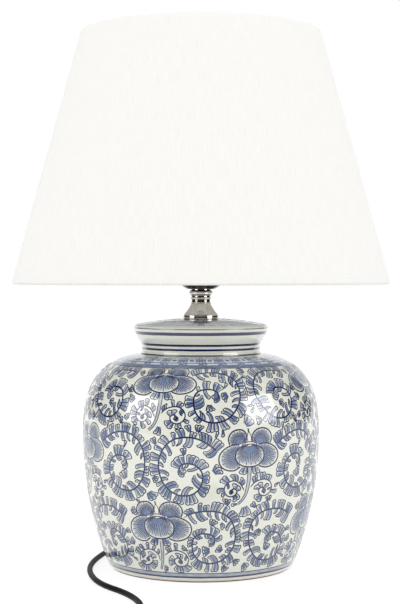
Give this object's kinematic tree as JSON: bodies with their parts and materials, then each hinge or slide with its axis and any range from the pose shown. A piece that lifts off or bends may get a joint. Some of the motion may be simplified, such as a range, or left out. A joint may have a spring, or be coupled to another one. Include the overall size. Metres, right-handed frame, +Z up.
{
  "type": "ginger jar table lamp",
  "caption": "Ginger jar table lamp: round-shouldered porcelain jar with lid, short turned neck, tapered cloth shade on a ring fitter, and a mains lead with a rocker switch and flat plug.",
  "frame": {"origin": "middle of the foot ring, on the table", "axes": "+Z up along the jar's axis, front towards -Y, lead leaving the foot towards +Y"},
  "size_m": [0.3492, 0.4801, 0.4941],
  "materials": {
    "porcelain": "glossy glaze, off-white, with painted cobalt blue",
    "hardboard": "pressed fibreboard",
    "felt": "black felt",
    "plated_steel": "zinc plated",
    "soft_seal": "matte",
    "neck_metal": "polished",
    "holder_shell": "glossy black moulding",
    "holder_ceramic": "unglazed steatite",
    "contact_brass": "plain",
    "shade_rings": "black moulding",
    "shade_cloth": "off-white woven polycotton",
    "shade_lining": "white translucent lining film",
    "shade_wire": "white powder coat",
    "bulb_opal": "opal",
    "bulb_metal": "rolled thread",
    "bulb_black_glass": "black vitrite",
    "lead_sheath": "black flexible sheath",
    "lead_fittings": "black moulded bushing",
    "switch_shell": "black moulding",
    "switch_button": "black moulding",
    "small_screws": "zinc plated",
    "plug_shell": "black moulding",
    "plug_metal": "nickel plated",
    "tie": "black strap"
  },
  "bodies": {
    "base": {"jar_foot": "porcelain", "jar_floor": "porcelain", "jar": "porcelain", "jar_shoulder": "porcelain", "jar_neck": "porcelain", "lid": "porcelain", "bottom_cover": "hardboard", "bottom_felt": "felt", "floor_washer": "plated_steel", "floor_nut": "plated_steel", "threaded_tube": "plated_steel", "soft_washer": "soft_seal", "neck_bell": "neck_metal", "neck_spindle": "neck_metal", "neck_collar": "neck_metal", "holder_cap": "holder_shell", "holder_lock_nut": "plated_steel", "holder_skirt": "holder_shell", "holder_insert": "holder_ceramic", "terminals": "contact_brass", "centre_contact": "contact_brass", "screw_shell": "contact_brass", "shade_seat_ring": "shade_rings", "lead_bushing": "lead_fittings", "inner_lead": "lead_sheath", "lead_to_switch": "lead_sheath", "lead_to_coil": "lead_sheath", "lead_coil": "lead_sheath", "coil_ties": "tie", "lead_to_plug": "lead_sheath", "switch_base": "switch_shell", "switch_cover": "switch_shell", "switch_screws": "small_screws", "switch_contacts": "contact_brass", "plug_body": "plug_shell", "plug_pins": "plug_metal", "plug_pin_sleeves": "plug_shell"},
    "shade": {"shade_cloth": "shade_cloth", "shade_liner": "shade_lining", "shade_top_wire": "shade_wire", "shade_spider": "shade_wire"},
    "clamp_ring": {"shade_clamp_ring": "shade_rings"},
    "bulb": {"bulb_tip": "contact_brass", "bulb_insulator": "bulb_black_glass", "bulb_cap": "bulb_metal", "bulb_glass": "bulb_opal"},
    "rocker": {"switch_rocker": "switch_button"}
  },
  "joints": [
    {"name": "shade_turn", "type": "hinge", "parent": "base", "child": "shade", "pos_m": [0, 0, 0.2875], "axis": [0, 0, 1], "continuous": true},
    {"name": "clamp_ring_unscrew", "type": "slide", "parent": "base", "child": "clamp_ring", "axis": [0, 0, 1], "range_m": [0, 0.0185]},
    {"name": "bulb_unscrew", "type": "slide", "parent": "base", "child": "bulb", "axis": [0, 0, 1], "range_m": [0, 0.026]},
    {"name": "switch_press", "type": "hinge", "parent": "base", "child": "rocker", "pos_m": [0.043, -0.292, 0.0124], "axis": [0, 1, 0], "range_deg": [0, 14]}
  ]
}
